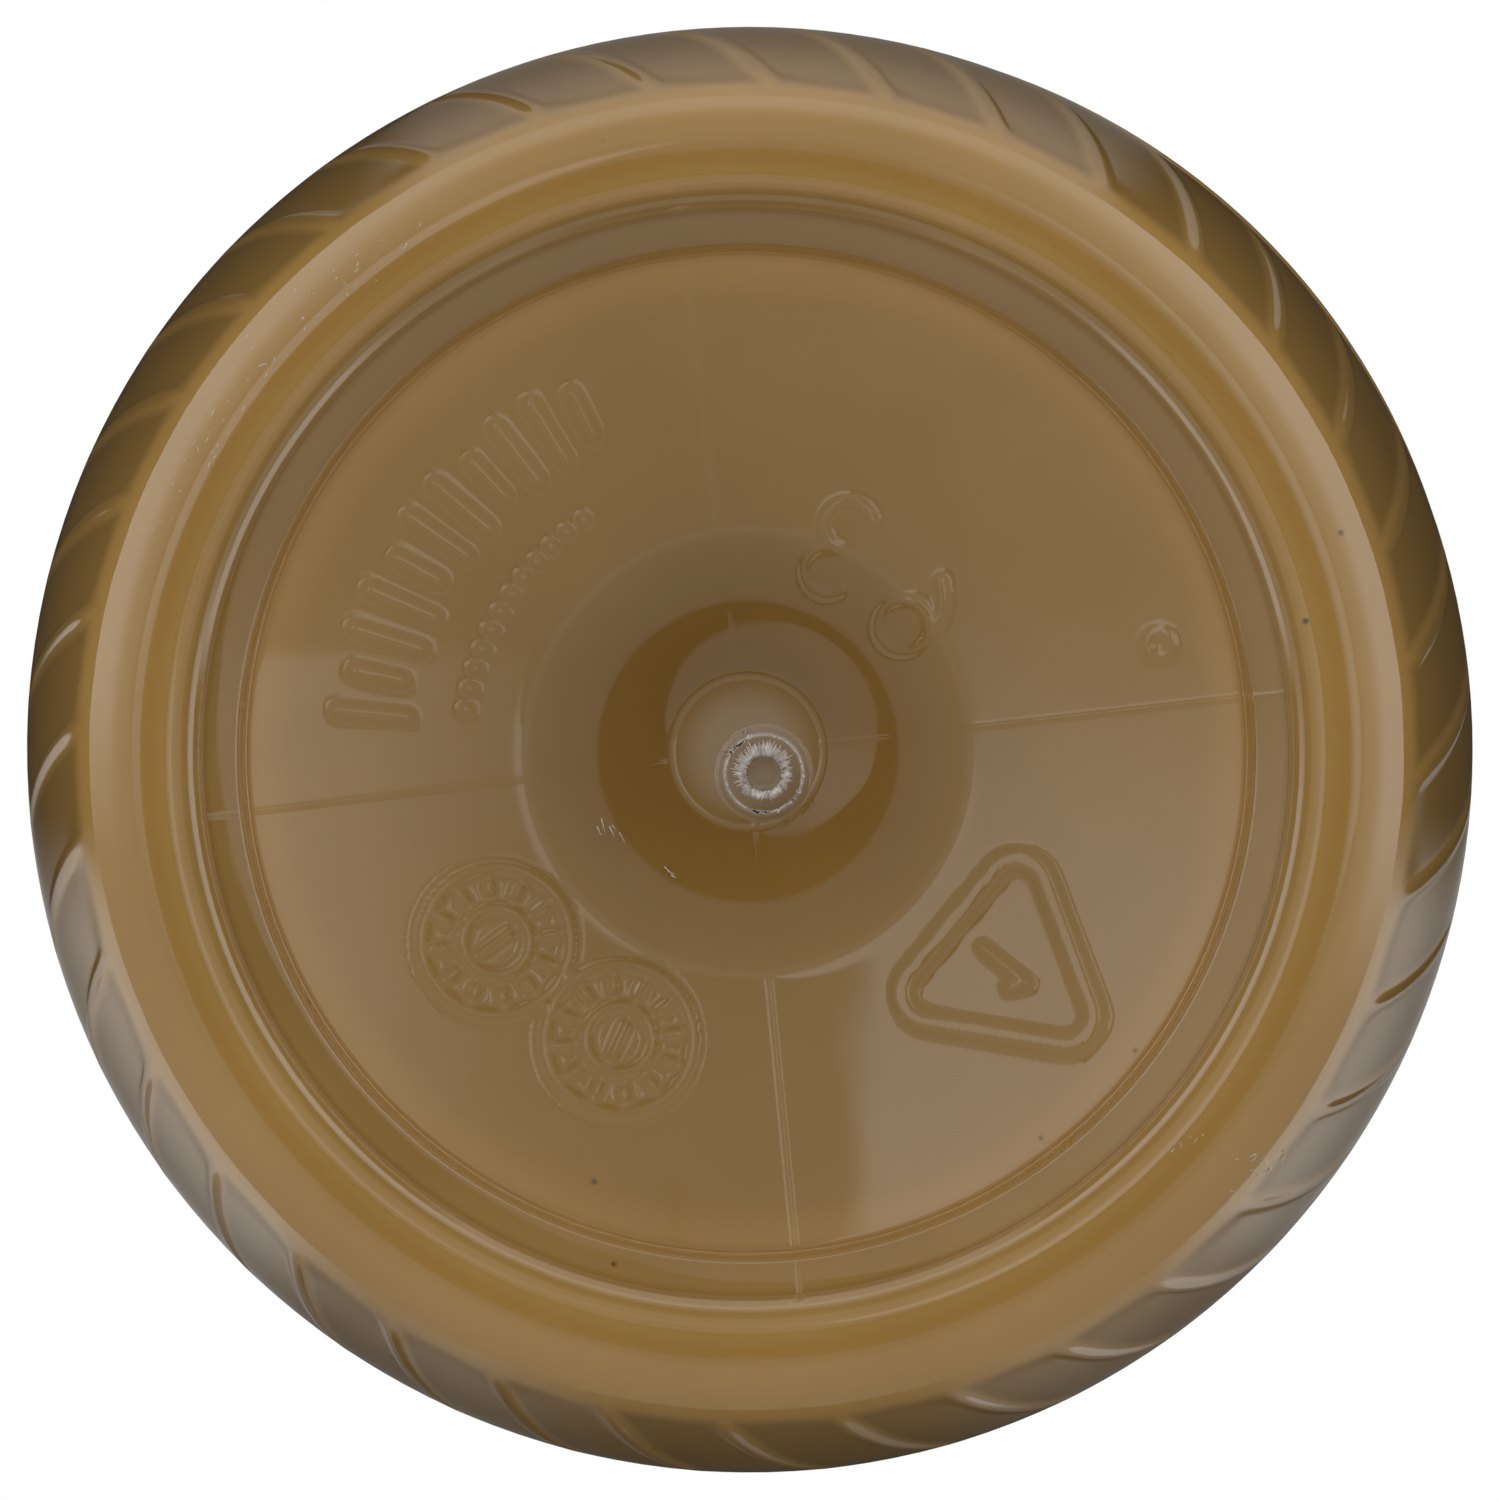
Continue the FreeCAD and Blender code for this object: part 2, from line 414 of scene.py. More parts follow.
def make_mesh(name, points, faces):
    """A smooth-shaded object from points in millimetres."""
    mesh = bpy.data.meshes.new(name)
    mesh.from_pydata((np.asarray(points) * MM).tolist(), [], [tuple(map(int, f)) for f in faces])
    mesh.update()
    mesh.polygons.foreach_set("use_smooth", [True] * len(mesh.polygons))
    piece = bpy.data.objects.new(name, mesh)
    bpy.context.scene.collection.objects.link(piece)
    return piece


def even(count, phase=0.0):
    """Columns spaced evenly round the axis."""
    angles = phase + np.arange(count) * TURN / count
    return lambda r, z: angles


# ---------------------------------------------------------------- the base's moulded marks

seam_angles = np.radians([-6.5, -97.0, -186.7, -275.7])
seam_width = 0.14
seam_height = 0.045
seam_start = 3.4
seam_offsets = np.array([0.08, 0.17, 0.32])


def seamed(per_quarter):
    """Columns that crowd round the base's four seams, at the same distances at every radius."""

    def columns(r, z):
        starts = np.sort(seam_angles % TURN)
        ends = np.append(starts[1:], starts[0] + TURN)
        near = np.minimum(seam_offsets / max(r, 0.1), 0.12)
        quarters = []
        for start, end in zip(starts, ends):
            between = np.linspace(start + near[-1], end - near[-1], per_quarter - 2 * len(near) + 1)
            quarters.append(
                np.concatenate(([start], start + near[:-1], between, end - near[-2::-1]))
            )
        return np.concatenate(quarters)

    return columns


mark_height = 0.17
mark_edge = 0.34
marks_reach = 24.8


def to_line(x, y, a, b):
    """Distance from points to a straight stroke."""
    ax, ay = a
    dx, dy = b[0] - ax, b[1] - ay
    t = np.clip(((x - ax) * dx + (y - ay) * dy) / (dx * dx + dy * dy), 0, 1)
    return np.hypot(x - ax - t * dx, y - ay - t * dy)


def to_arc(x, y, centre, radius, start, sweep):
    """Distance from points to a stroke along part of a circle, in degrees."""
    dx, dy = x - centre[0], y - centre[1]
    middle = math.radians(start + sweep / 2)
    off = (np.arctan2(dy, dx) - middle + math.pi) % TURN - math.pi
    half = math.radians(abs(sweep)) / 2
    ends = [math.radians(start), math.radians(start + sweep)]
    to_ends = [
        np.hypot(dx - radius * math.cos(a), dy - radius * math.sin(a)) for a in ends
    ]
    return np.where(np.abs(off) <= half, np.abs(np.hypot(dx, dy) - radius), np.minimum(*to_ends))


def raised(distance, half_width):
    """The cross-section of a raised stroke."""
    return smooth((half_width - distance) / mark_edge + 0.5)


def turned_to(x, y, radius, angle):
    """Coordinates about a mark's centre, with +v pointing away from the axis."""
    cx, cy = radius * math.cos(angle), radius * math.sin(angle)
    u = -(x - cx) * math.sin(angle) + (y - cy) * math.cos(angle)
    v = (x - cx) * math.cos(angle) + (y - cy) * math.sin(angle)
    return -u, v


def six(u, v, size):
    r = size * 0.27
    loop = np.abs(np.hypot(u, v + size / 2 - r) - r)
    tail = to_arc(u, v, (size * 0.38, -size / 2 + r), size * 0.65, 180, -68)
    return np.minimum(loop, tail)


def three(u, v, size):
    r = size / 4
    return np.minimum(to_arc(u, v, (0, r), r, -90, 240), to_arc(u, v, (0, -r), r, 90, -240))


def one(u, v, size):
    stem = to_line(u, v, (0, -size / 2), (0, size / 2))
    return np.minimum(stem, to_line(u, v, (0, size / 2), (-size * 0.25, size * 0.28)))


def triangle(u, v, side, rounding):
    """Distance to a triangle's outline with rounded corners and one corner at +v."""
    inner = side / math.sqrt(12) - rounding
    tips = [math.radians(a) for a in (90, 210, 330)]
    at = [(2 * inner * math.cos(a), 2 * inner * math.sin(a)) for a in tips]
    edges = np.minimum.reduce([to_line(u, v, a, b) for a, b in zip(at, at[1:] + at[:1])])
    sides = [u * math.cos(a + math.pi) + v * math.sin(a + math.pi) - inner for a in tips]
    within = np.maximum.reduce(sides) < 0
    return np.abs(np.where(within, -edges, edges) - rounding)


def dial(u, v, radius):
    """A moulder's date dial: two rings, a tick for each month and a pointer."""
    away = np.hypot(u, v)
    strokes = [np.abs(away - radius) - 0.1, np.abs(away - radius * 0.45) - 0.05]
    for month in range(12):
        a = TURN * month / 12
        start = (radius * 0.66 * math.cos(a), radius * 0.66 * math.sin(a))
        end = (radius * 0.82 * math.cos(a), radius * 0.82 * math.sin(a))
        strokes.append(to_line(u, v, start, end))
    strokes.append(to_line(u, v, (0, -radius * 0.25), (0, radius * 0.25)))
    return np.minimum.reduce(strokes)


def base_marks(angles, r, z):
    """How far the base's generic moulded marks stand out at each point of a ring."""
    x, y = r * np.cos(angles), r * np.sin(angles)
    rise = np.zeros(len(angles))
    digit = 5.4
    for shape, angle in ((three, -66), (six, -39)):
        u, v = turned_to(x, y, 12.3, math.radians(angle))
        rise = np.maximum(rise, 0.7 * raised(shape(u, v, digit), 0.26))
    u, v = turned_to(x, y, 18.4, math.radians(-320.5))
    rise = np.maximum(rise, raised(triangle(u, v, 13.0, 1.6), 0.62))
    rise = np.maximum(rise, raised(one(u, v, 3.2), 0.3))
    for side in (-1, 1):
        u, v = turned_to(x, y, 17.3, math.radians(-231.5 + side * 14.5))
        rise = np.maximum(rise, 1.5 * raised(dial(u, v, 4.1), 0.26))
    for index in range(11):
        angle = math.radians(-116 - index * 5.8)
        half = 1.9 if index % 3 else 1.3
        u, v = turned_to(x, y, 20.7, angle)
        rise = np.maximum(rise, raised(to_line(u, v, (0, -half), (0, half)), 0.42))
    for index in range(12):
        u, v = turned_to(x, y, 15.6, math.radians(-125 - index * 4.2))
        rise = np.maximum(rise, 0.8 * raised(np.hypot(u, v), 0.34))
    u, v = turned_to(x, y, 23.5, math.radians(-14.8))
    rise = np.maximum(rise, 0.6 * raised(np.abs(np.hypot(u, v) - 0.7), 0.18))
    return rise * mark_height


def gate_rise(angles, r, z):
    """The gate's nub and its crater."""
    x, y = r * np.cos(angles) - gate_centre[0], r * np.sin(angles) - gate_centre[1]
    away = np.hypot(x, y)
    around = np.arctan2(y, x)
    torn = 0.05 * np.sin(7 * around + 0.6) + 0.03 * np.sin(17 * around + 2.1)
    nub = gate_drop * smooth((gate_radius + gate_skirt - away) / gate_skirt)
    crater = gate_crater_depth * smooth((gate_crater_radius + 0.2 + torn - away) / 0.3)
    return nub - crater


def seam_rise(angles, r, z):
    """The four fine seams that cross the base."""
    away = np.full(len(angles), 99.0)
    for seam in seam_angles:
        off = (angles - seam + math.pi) % TURN - math.pi
        away = np.minimum(away, np.abs(off) * r)
    start = smooth((r - seam_start) / 1.5) * (0.4 + 0.6 * smooth((r - dome_waist_radius) / 5))
    return start * seam_height * smooth(1 - away / seam_width)


def base_rise(angles, r, z):
    rise = seam_rise(angles, r, z)
    if r < gate_radius + gate_skirt + math.hypot(*gate_centre) + 0.1:
        rise = rise + gate_rise(angles, r, z)
    if r > dome_waist_radius:
        rise = rise + base_marks(angles, r, z)
    return rise


# ---------------------------------------------------------------- flutes

flute_pitch = TURN * body_radius / flute_count
flute_half = (flute_pitch - rib_width) / 2
flute_side = np.array([1.5, 2.5, 2.82, 3.02, 3.22])
flute_columns = np.concatenate(([-3.5], -flute_side[::-1], [0], flute_side)) / 7.0


def flute_turn(z, low, lean):
    """How far a flute's middle has moved round at a height."""
    return flute_phase + lean * math.tan(flute_slant) * (z - low - flute_height / 2) / body_radius


def fluted(low, lean):
    """Columns that run along the ribs."""
    pitch = TURN / flute_count
    starts = np.arange(flute_count) * pitch
    angles = (starts[:, None] + flute_columns * pitch).ravel()
    return lambda r, z: angles + flute_turn(z, low, lean)


def flute_rise(low, lean):
    """The flutes' depth round a ring. Each starts softly at its end by the heel or neck, between
    two straight ribs, and runs out towards the label."""
    pitch = TURN / flute_count

    def rise(angles, r, z):
        off = (angles - flute_turn(z, low, lean) + pitch / 2) % pitch - pitch / 2
        x = np.abs(off) * body_radius
        from_end = z - low if lean < 0 else low + flute_height - z
        crown = flute_end_bulge * (1 - (x / flute_half) ** 2)
        side = smooth((flute_half - x) / flute_edge + 0.5)
        end = smooth((from_end + crown) / flute_end_edge + 0.3)
        left = np.clip(1 - from_end / flute_run, 0, 1) ** 0.7
        return -flute_floor * left * side * end

    return rise


def thread_rise(angles, r, z):
    """One turn and a half of screw thread."""
    around = angles % TURN
    rise = np.zeros(len(angles))
    for lap in range(2):
        t = around / TURN + lap
        height = neck_foot + thread_lift + t * thread_pitch
        fade = smooth(t * 12) * smooth((thread_turns - t) * 12)
        rise = np.maximum(rise, fade * smooth((thread_half_width - np.abs(z - height)) / 0.6))
    return thread_height * rise


# ---------------------------------------------------------------- pieces

def make_jar():
    """The clear jar, outside and inside in one closed mesh."""
    outside = Outline(jar_corners())
    where = outside.where_radius
    base_zones = [
        (gate_reach, 0.14, 48),
        (dome_waist_radius + 0.7, 0.3, 80),
        (marks_reach, 0.26, 120),
        (panel_radius - 1, 0.3, 72),
        (step_inner - 0.3, 0.17, 72),
        (step_outer + 0.1, 0.06, 72),
    ]
    skin = Skin()
    skin.pole(outside.at(0)[1] - gate_rise(np.zeros(1), 0, 0)[0])
    done = 0.14
    for radius, spacing, columns in base_zones:
        skin.run(outside, stations(done, where(radius), spacing), seamed(columns), base_rise)
        done = where(radius)

    heel_start = where(ring_outer + 0.7)
    flank_top = outside.where_height(flank_rise + flank_round_reach, heel_start)
    label_low = outside.where_height(label_margin + label_step + 0.7, flank_top)
    label_end = outside.where_height(label_head - label_step - 0.7, label_low)
    shoulder_low = outside.where_height(shoulder_corner - flank_round_reach, label_end)
    shoulder_top = outside.where_height(shoulder_edge - 0.6, shoulder_low)
    thread_low = outside.where_height(neck_foot + thread_lift - 1.2, shoulder_top)
    shoulder_flutes = shoulder_edge - flute_start - flute_height
    skin.run(outside, stations(done, heel_start, 0.3), even(252))
    skin.run(
        outside,
        stations(heel_start, flank_top, 0.34),
        fluted(flute_start, -1),
        flute_rise(flute_start, -1),
    )
    skin.run(outside, stations(flank_top, label_low, 0.35), even(180))
    skin.run(outside, stations(label_low, label_end, 4.0), even(180))
    skin.run(outside, stations(label_end, shoulder_low, 0.35), even(180))
    skin.run(
        outside,
        stations(shoulder_low, shoulder_top, 0.56),
        fluted(shoulder_flutes, 1),
        flute_rise(shoulder_flutes, 1),
    )
    skin.run(outside, stations(shoulder_top, thread_low, 0.3), even(120))
    skin.run(outside, stations(thread_low, outside.length - 0.6, 0.5), even(120), thread_rise)
    skin.run(outside, stations(outside.length - 0.6, outside.length, 0.15), even(120))

    inside = Outline(inside_corners())
    skin.run(inside, [inside.length - s for s in stations(0, inside.length - 1, 1.9)], even(72))
    skin.pole(inside.at(0)[1])
    return skin.make("jar_shell")


def make_splinters(name, strokes, height, lift=0.015, depth=0.03):
    """Thin closed splinters lying on a surface whose height is known. A stroke is its two ends and
    the half widths there."""
    points, faces = [], []
    for (ax, ay), (bx, by), near, far in strokes:
        run = math.hypot(bx - ax, by - ay)
        nx, ny = -(by - ay) / run, (bx - ax) / run
        corners = [
            (ax + nx * near, ay + ny * near),
            (bx + nx * far, by + ny * far),
            (bx - nx * far, by - ny * far),
            (ax - nx * near, ay - ny * near),
        ]
        first = len(points)
        heights = [height(x, y) - lift for x, y in corners]
        points.extend((x, y, z) for (x, y), z in zip(corners, heights))
        points.extend((x, y, z + depth) for (x, y), z in zip(corners, heights))
        faces.append(tuple(first + i for i in (0, 1, 2, 3)))
        faces.append(tuple(first + i for i in (7, 6, 5, 4)))
        for i in range(4):
            k = (i + 1) % 4
            faces.append((first + k, first + i, first + 4 + i, first + 4 + k))
    return make_mesh(name, points, faces)


def make_gate_frost():
    """The torn, whitened streaks that the gate leaves round its crater, and its ragged outer edge
    with a few burrs."""
    draws = np.random.default_rng(11)

    def at(reach, a):
        return gate_centre[0] + reach * math.cos(a), gate_centre[1] + reach * math.sin(a)

    strokes = []
    for index in range(170):
        a = TURN * (index + 0.5 * draws.random()) / 170
        thick = 0.5 + 0.5 * math.cos(a + 1.9)
        start = 0.94 + 0.2 * draws.random() ** 2
        end = start + (0.52 + 0.42 * thick) * (0.5 + 0.5 * draws.random())
        strokes.append((at(start, a), at(end, a + 0.03), 0.026, 0.016))
    for index in range(90):
        if draws.random() < 0.16:
            continue
        a, reach = TURN * index / 90, 2.11 + 0.03 * draws.random()
        wide = 0.012 + 0.02 * draws.random()
        strokes.append((at(reach, a), at(reach, a + TURN / 90), wide, wide))
    for middle, spread, count in ((-3.95, 0.35, 16), (-1.75, 0.25, 9), (-0.5, 0.35, 12)):
        for _ in range(count):
            a = -middle + spread * draws.normal() * 0.6
            start = 2.02 + 0.1 * draws.random()
            end = start + 0.07 + 0.16 * draws.random()
            strokes.append((at(start, a), at(end, a + 0.1 * draws.normal()), 0.03, 0.05))
    face = dome_top - gate_drop
    return make_splinters("gate_frost", strokes, lambda x, y: face)


def make_scuffs():
    """Fine scuffs that handling has left on the heel, and a few short scratches on the base."""
    draws = np.random.default_rng(5)
    groups = [
        # angle, spread, radius, spread, count, length, lie
        (-141, 9, ring_outer - 1.2, 0.7, 34, 0.34, 0.4),
        (-128, 7, ring_outer - 2.0, 0.4, 12, 0.25, 0.9),
        (-155, 5, ring_outer - 0.9, 0.3, 8, 0.25, 0.2),
        (38.5, 1.2, ring_outer + 0.6, 0.5, 16, 0.4, 0.7),
        (42, 1.5, ring_outer - 3.4, 0.5, 7, 0.3, 0.2),
        (151, 2, 9.0, 0.5, 5, 0.7, 0.1),
        (122, 2, 8.1, 0.2, 3, 0.6, 0.1),
    ]
    strokes = []
    for angle, spread, radius, wander, count, length, lie in groups:
        for _ in range(count):
            a = math.radians(angle + spread * draws.normal())
            r = radius + wander * draws.normal()
            reach = length * (0.3 + draws.random()) / 2
            turn = a + math.pi / 2 + lie * draws.normal()
            x, y = r * math.cos(a), r * math.sin(a)
            dx, dy = reach * math.cos(turn), reach * math.sin(turn)
            strokes.append(((x - dx, y - dy), (x + dx, y + dy), 0.012, 0.024))
    outline = Outline(jar_corners())
    surface = {}

    def height(x, y):
        r = round(math.hypot(x, y), 2)
        if r not in surface:
            surface[r] = outline.at(outline.where_radius(r))[1]
        return surface[r]

    return make_splinters("heel_scuffs", strokes, height)


def make_butter():
    """The butter, pressed against the wall, with the filler's swirl on its top."""
    outline = Outline(inside_corners(wet_reach))
    skin = Skin()
    skin.pole(outline.at(0)[1])
    ring_top = outline.where_radius(ring_outer)
    top = outline.where_height(butter_level, ring_top)
    low = outline.where_height(20, ring_top)
    skin.run(outline, stations(0.3, low, 0.35), even(180))
    skin.run(outline, stations(low, top, 1.5), even(180))
    edge = outline.at(top)[0]
    for r in np.linspace(edge, edge / swirl_rings, swirl_rings):
        angles = even(180)(r, 0)
        wave = np.cos(angles + swirl_turns * TURN * r / edge)
        rise = swirl_height * wave * smooth((edge - r) / 4) * smooth(r / 5)
        z = butter_level - swirl_dip * (1 - smooth((r - edge + 3) / 3))
        points = np.column_stack((r * np.cos(angles), r * np.sin(angles), z + rise))
        skin.ring(angles, points)
    skin.pole(butter_level - swirl_dip)
    return skin.make("butter_fill")


def make_cap():
    """The screw cap, with its grip grooves."""
    bore = cap_radius - skirt_wall
    rim = cap_radius - cap_rim_width
    soft = 0.25
    corners = [
        (0, jar_height, 0),
        (bore, jar_height, soft),
        (bore, cap_foot, soft),
        (cap_radius, cap_foot, soft),
        (cap_radius, cap_top, cap_round),
        (rim, cap_top, soft),
        (rim - cap_panel_slope_run, cap_top - cap_panel_recess, soft),
        (0, cap_top - cap_panel_recess, 0),
    ]
    outline = Outline(corners)
    groove_low, groove_high = cap_foot + cap_lip, cap_top - 0.5

    def groove_rise(angles, r, z):
        wave = smooth(np.cos(angles * groove_count) * 1.6)
        ends = smooth((z - groove_low) / 0.5) * smooth((groove_high - z) / 0.8)
        return -groove_depth * wave * ends

    columns = even(groove_count * groove_columns)
    foot = outline.where_height(cap_foot + 0.01)
    under = outline.where_radius(bore + skirt_wall / 2, foot)
    top_edge = outline.where_radius(cap_radius - cap_round, under)
    panel_edge = outline.where_radius(rim - cap_panel_slope_run - 0.5, top_edge)
    skin = Skin()
    skin.pole(jar_height)
    skin.run(outline, stations(bore / 4, bore - 0.5, 6.0), even(120))
    skin.run(outline, stations(bore - 0.5, under, 0.45), even(120))
    skin.run(outline, stations(under, top_edge, 0.35), columns, groove_rise)
    skin.run(outline, stations(top_edge, panel_edge, 0.15), even(180))
    skin.run(outline, stations(panel_edge, outline.length - 1, 1.5), even(180))
    skin.pole(cap_top - cap_panel_recess)
    return skin.make("cap_shell")


# ---------------------------------------------------------------- nodes and materials

def add(tree, kind, inputs=None, **settings):
    """A new node. Each input is a socket to link from or a value to set."""
    made = tree.nodes.new("ShaderNode" + kind)
    for key, value in settings.items():
        setattr(made, key, value)
    for key, value in (inputs or {}).items():
        if isinstance(value, bpy.types.NodeSocket):
            tree.links.new(value, made.inputs[key])
        else:
            made.inputs[key].default_value = value
    return made


def maths(tree, operation, *values):
    """The result of a Math node on sockets or numbers."""
    return add(tree, "Math", dict(enumerate(values)), operation=operation).outputs[0]


def between(tree, value, low, high, to_low=0.0, to_high=1.0):
    """A smooth change from one value to another as the input goes from low to high."""
    inputs = {
        "Value": value,
        "From Min": low,
        "From Max": high,
        "To Min": to_low,
        "To Max": to_high,
    }
    return add(tree, "MapRange", inputs, interpolation_type="SMOOTHSTEP").outputs["Result"]


def ramp(tree, value, stops):
    """A colour ramp from positions and colours."""
    made = add(tree, "ValToRGB", {"Fac": value})
    elements = made.color_ramp.elements
    elements.remove(elements[-1])
    for index, (position, colour) in enumerate(stops):
        element = elements[0] if index == 0 else elements.new(position)
        element.position = position
        element.color = (*colour, 1) if len(colour) == 3 else (*colour * 3, 1)
    return made.outputs["Color"]


def blended(tree, share, first, second, way="MIX"):
    """Two colours mixed by a share."""
    inputs = {0: share, 6: first, 7: second}
    return add(tree, "Mix", inputs, data_type="RGBA", blend_type=way).outputs[2]


def own_place(tree):
    """The place on the object, in its own metres."""
    return add(tree, "TexCoord").outputs["Object"]


def times(tree, first, second):
    return maths(tree, "MULTIPLY", first, second)


def apart(tree, x, y):
    """The distance of a spot from the origin."""
    squares = (maths(tree, "POWER", part, 2.0) for part in (x, y))
    return maths(tree, "SQRT", maths(tree, "ADD", *squares))


def off_axis(tree, spot):
    """The distance from the jar's axis."""
    return apart(tree, spot.outputs["X"], spot.outputs["Y"])


def noise(tree, scale, detail=3.0):
    inputs = {"Vector": own_place(tree), "Scale": scale, "Detail": detail}
    return add(tree, "TexNoise", inputs).outputs["Fac"]


def bumped(tree, value, depth):
    """A normal disturbed by a height, depth metres deep."""
    return add(tree, "Bump", {"Height": value, "Distance": depth}).outputs["Normal"]


def new_material(name):
    """A material with one Principled shader."""
    material = bpy.data.materials.new(name)
    material.use_nodes = True
    tree = material.node_tree
    tree.nodes.clear()
    shader = add(tree, "BsdfPrincipled")
    output = add(tree, "OutputMaterial", {"Surface": shader.outputs[0]})
    return material, tree, shader, output


def clear_plastic():
    """Clear PET, faintly clouded on top of the dome and round the gate. Rays from lamps pass
    straight through, so that what is behind it is lit."""
    material, tree, shader, output = new_material("clear_pet")
    shader.inputs["Base Color"].default_value = (0.97, 0.965, 0.94, 1)
    shader.inputs["IOR"].default_value = 1.57
    haze = ramp(tree, noise(tree, 260), [(0.4, (0.015,)), (0.75, (0.05,))])
    tree.links.new(haze, shader.inputs["Roughness"])
    tree.links.new(bumped(tree, noise(tree, 120, 1.0), 0.00001), shader.inputs["Normal"])
    spot = add(tree, "SeparateXYZ", {0: own_place(tree)})
    inner, outer = dome_top_radius * 0.45 * MM, dome_top_radius * 1.1 * MM
    cloud = between(tree, off_axis(tree, spot), inner, outer, 0.06, 0.0)
    gate_spot = (gate_centre[0] * MM, gate_centre[1] * MM, (dome_top - gate_drop) * MM)
    inputs = {0: own_place(tree), 1: gate_spot}
    beside = add(tree, "VectorMath", inputs, operation="DISTANCE").outputs["Value"]
    torn = times(
        tree,
        between(tree, beside, 2.0 * MM, 2.2 * MM),
        between(tree, beside, 2.4 * MM, 2.7 * MM, 0.10, 0.0),
    )
    low = between(tree, spot.outputs["Z"], dome_top * MM, (dome_top + 0.3) * MM, 1.0, 0.0)
    clouded = times(tree, maths(tree, "ADD", cloud, torn), low)
    clear = maths(tree, "SUBTRACT", 1.0, clouded)
    tree.links.new(clear, shader.inputs["Transmission Weight"])
    through = add(tree, "BsdfTransparent", {"Color": (0.94, 0.935, 0.92, 1)})
    lamp_ray = add(tree, "LightPath").outputs["Is Shadow Ray"]
    mix = add(tree, "MixShader", {0: lamp_ray, 1: shader.outputs[0], 2: through.outputs[0]})
    tree.links.new(mix.outputs[0], output.inputs["Surface"])
    return material


def frosted_plastic():
    """PET whitened where it was torn or scuffed."""
    material, tree, shader, _ = new_material("frosted_pet")
    stops = [(0.35, (0.27, 0.235, 0.21)), (0.65, (0.5, 0.47, 0.44))]
    pale = ramp(tree, noise(tree, 2600, 4.0), stops)
    tree.links.new(pale, shader.inputs["Base Color"])
    shader.inputs["Roughness"].default_value = 0.45
    tree.links.new(bumped(tree, noise(tree, 3000, 4.0), 0.00008), shader.inputs["Normal"])
    return material


def flute_shade_share(tree, spot, across):
    """The mask of the painted shade behind the heel's flutes: 0 behind the flutes, where the paste
    is darkened, 1 behind its ribs and everywhere else.
    """
    around = maths(tree, "ARCTAN2", spot.outputs["Y"], spot.outputs["X"])
    middle = (flute_start + flute_height / 2) * MM
    slope = math.tan(flute_slant) / (body_radius * MM)
    climb = times(tree, maths(tree, "SUBTRACT", spot.outputs["Z"], middle), slope)
    turned = maths(tree, "SUBTRACT", maths(tree, "ADD", around, climb), flute_phase)
    laps = maths(tree, "ADD", times(tree, turned, flute_count / TURN), 0.5)
    off = maths(tree, "ABSOLUTE", maths(tree, "SUBTRACT", maths(tree, "FRACT", laps), 0.5))
    half = flute_half / flute_pitch
    beside = between(tree, off, half - 0.09, half + 0.03)
    below = between(tree, spot.outputs["Z"], flute_start * MM, (flute_start + 0.8) * MM, 1.0, 0.0)
    inward = between(tree, across, (ring_outer - 0.6) * MM, ring_outer * MM, 1.0, 0.0)
    return maths(tree, "MAXIMUM", maths(tree, "MAXIMUM", beside, below), inward)


